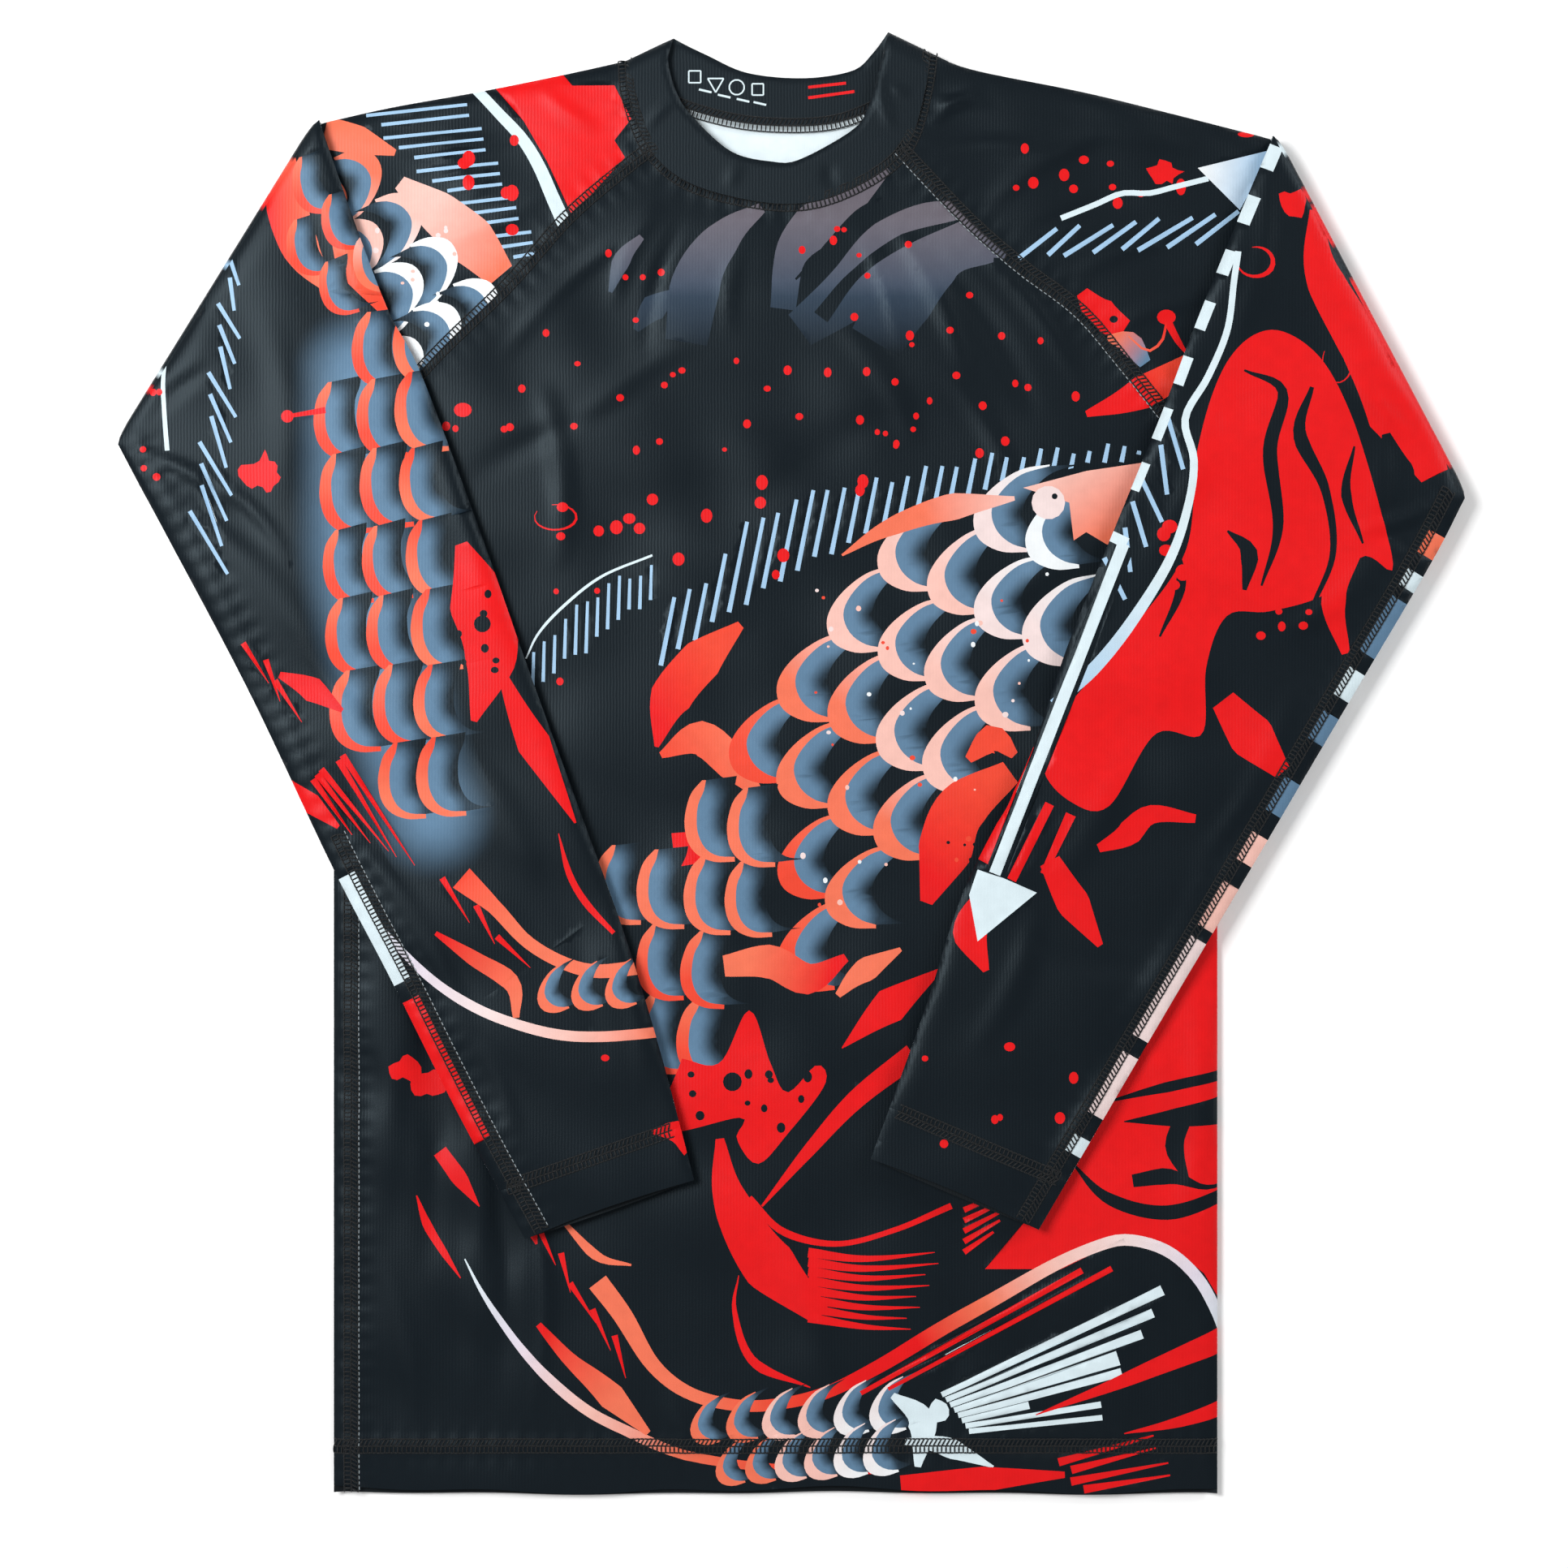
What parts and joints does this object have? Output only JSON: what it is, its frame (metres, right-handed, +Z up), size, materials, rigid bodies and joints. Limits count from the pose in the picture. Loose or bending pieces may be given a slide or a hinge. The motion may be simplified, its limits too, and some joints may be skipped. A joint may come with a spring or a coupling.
{
  "type": "long-sleeved rash guard",
  "caption": "Long-sleeved stretch-knit rash guard with raglan sleeves, a round collar band and a koi-scale print, lying flat with both sleeves folded over the front.",
  "frame": {"origin": "middle of the whole laid-out outline, on the table", "axes": "+Y from the hem to the collar, +X towards the wearer's left sleeve, +Z up off the table, out of the shirt's front"},
  "size_m": [0.6366, 0.696, 0.017],
  "materials": {
    "front_printed_knit": "satin",
    "back_printed_knit": "satin",
    "sleeve_printed_knit": "satin",
    "dark_knit": "satin",
    "seam_thread": "matte"
  },
  "bodies": {
    "shirt_body": {"front_panel": "front_printed_knit", "back_panel": "back_printed_knit", "bottom_hem_band": "dark_knit", "bottom_hem_stitching": "seam_thread", "collar_band": "dark_knit", "collar_seam": "seam_thread", "right_raglan_seam_front": "seam_thread", "right_raglan_seam_back": "seam_thread", "left_raglan_seam_front": "seam_thread", "left_raglan_seam_back": "seam_thread", "right_side_seam": "seam_thread", "left_side_seam": "seam_thread", "right_sleeve_upper": "sleeve_printed_knit", "left_sleeve_upper": "sleeve_printed_knit", "right_underarm_seam_upper": "seam_thread", "left_underarm_seam_upper": "seam_thread"},
    "right_lower_sleeve": {"right_sleeve_lower": "sleeve_printed_knit", "right_underarm_seam_lower": "seam_thread", "right_underarm_seam_under": "seam_thread", "right_cuff_stitching": "seam_thread", "right_cuff_band": "dark_knit"},
    "left_lower_sleeve": {"left_sleeve_lower": "sleeve_printed_knit", "left_underarm_seam_lower": "seam_thread", "left_cuff_stitching": "seam_thread", "left_cuff_band": "dark_knit"}
  },
  "joints": [
    {"name": "right_sleeve_fold", "type": "hinge", "parent": "shirt_body", "child": "right_lower_sleeve", "pos_m": [-0.2235, 0.3045, 0.0085], "axis": [-0.5263, -0.8503, 0], "range_deg": [0, 180]},
    {"name": "left_sleeve_fold", "type": "hinge", "parent": "shirt_body", "child": "left_lower_sleeve", "pos_m": [0.228, 0.297, 0.0085], "axis": [-0.4667, 0.8844, 0], "range_deg": [0, 180]}
  ]
}
